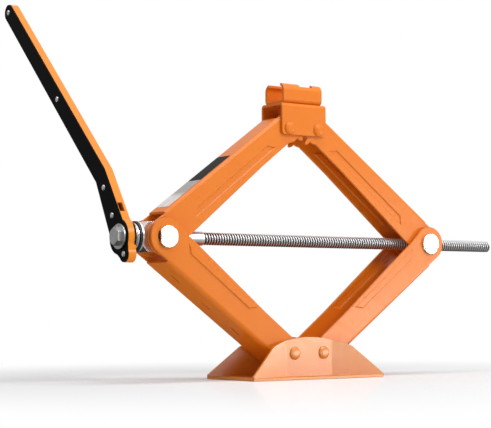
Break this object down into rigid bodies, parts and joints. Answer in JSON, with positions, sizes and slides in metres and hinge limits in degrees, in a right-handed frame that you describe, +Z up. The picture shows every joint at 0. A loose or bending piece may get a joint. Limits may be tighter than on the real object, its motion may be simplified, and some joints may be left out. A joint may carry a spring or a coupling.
{
  "type": "scissor jack",
  "caption": "Hand-cranked scissor jack: pressed channel arms with geared ends, a lead screw between trunnions, a grooved lifting saddle, a winged foot plate and a ratchet wrench.",
  "frame": {"origin": "on the floor at the middle of the foot plate", "axes": "+X along the lead screw towards its free end, +Y across the jack, +Z up"},
  "size_m": [0.4645, 0.2798, 0.3866],
  "materials": {
    "orange_paint": "satin orange powder coat",
    "wrench_orange": "gloss orange paint",
    "black_cover": "gloss black enamel",
    "bright_zinc": "bright zinc plate",
    "screw_steel": "rolled thread, dark zinc plate",
    "hardened_steel": "ground steel",
    "black_cage": "moulded black cage"
  },
  "bodies": {
    "base": {"base_plate": "orange_paint", "base_pin_left": "orange_paint", "base_pin_right": "orange_paint"},
    "lower_left": {"lower_left_arm": "orange_paint"},
    "lower_right": {"lower_right_arm": "orange_paint"},
    "upper_left": {"upper_left_arm": "orange_paint"},
    "upper_right": {"upper_right_arm": "orange_paint"},
    "cap": {"top_cap": "orange_paint", "saddle": "orange_paint", "cap_pin_left": "orange_paint", "cap_pin_right": "orange_paint"},
    "thrust_block": {"thrust_trunnion": "bright_zinc", "thrust_joint_washers": "bright_zinc", "thrust_race_inner": "bright_zinc", "thrust_ball_cage": "black_cage", "thrust_balls": "hardened_steel"},
    "nut_block": {"nut_trunnion": "bright_zinc", "nut_joint_washers": "bright_zinc"},
    "screw": {"lead_screw": "screw_steel", "thrust_race_outer": "bright_zinc", "ratchet_wheel": "hardened_steel", "drive_washer": "bright_zinc", "drive_bolt": "bright_zinc"},
    "wrench": {"wrench_frame": "wrench_orange", "wrench_front_cover": "black_cover", "wrench_rear_cover": "black_cover", "wrench_rivets": "bright_zinc", "pawl_pin": "bright_zinc", "pawl_spring": "hardened_steel"},
    "pawl": {"pawl": "hardened_steel"}
  },
  "joints": [
    {"name": "lift", "type": "hinge", "parent": "base", "child": "lower_left", "pos_m": [-0.0174, 0, 0.0246], "axis": [0, 1, 0], "range_deg": [-31, 22]},
    {"name": "lower_right_pivot", "type": "hinge", "parent": "base", "child": "lower_right", "pos_m": [0.0174, 0, 0.0246], "axis": [0, 1, 0], "range_deg": [-22, 31]},
    {"name": "upper_left_pivot", "type": "hinge", "parent": "lower_left", "child": "upper_left", "pos_m": [-0.15882, 0, 0.13351], "axis": [0, 1, 0], "range_deg": [-44, 62]},
    {"name": "upper_right_pivot", "type": "hinge", "parent": "lower_right", "child": "upper_right", "pos_m": [0.15882, 0, 0.13351], "axis": [0, 1, 0], "range_deg": [-62, 44]},
    {"name": "cap_pivot", "type": "hinge", "parent": "upper_left", "child": "cap", "pos_m": [-0.0174, 0, 0.24242], "axis": [0, 1, 0], "range_deg": [-31, 22]},
    {"name": "thrust_pivot", "type": "hinge", "parent": "lower_left", "child": "thrust_block", "pos_m": [-0.15882, 0, 0.13351], "axis": [0, 1, 0], "range_deg": [-22, 31]},
    {"name": "nut_pivot", "type": "hinge", "parent": "lower_right", "child": "nut_block", "pos_m": [0.15882, 0, 0.13351], "axis": [0, 1, 0], "range_deg": [-31, 22]},
    {"name": "screw_spin", "type": "hinge", "parent": "thrust_block", "child": "screw", "pos_m": [-0.15882, 0, 0.13351], "axis": [1, 0, 0], "continuous": true},
    {"name": "wrench_swing", "type": "hinge", "parent": "screw", "child": "wrench", "pos_m": [-0.15882, 0, 0.13351], "axis": [1, 0, 0], "range_deg": [-40, 120]},
    {"name": "pawl_rock", "type": "hinge", "parent": "wrench", "child": "pawl", "pos_m": [-0.19482, 0.0147, 0.15351], "axis": [-1, 0, 0], "range_deg": [0, 5.5], "stiffness_Nm_per_rad": 0.1, "springref_deg": -2.86}
  ],
  "couplings": [
    {"joint": "lower_right_pivot", "follows": "lift", "ratio": -1},
    {"joint": "upper_left_pivot", "follows": "lift", "ratio": -2},
    {"joint": "upper_right_pivot", "follows": "lift", "ratio": 2},
    {"joint": "cap_pivot", "follows": "lift", "ratio": 1},
    {"joint": "thrust_pivot", "follows": "lift", "ratio": -1},
    {"joint": "nut_pivot", "follows": "lift", "ratio": 1}
  ]
}
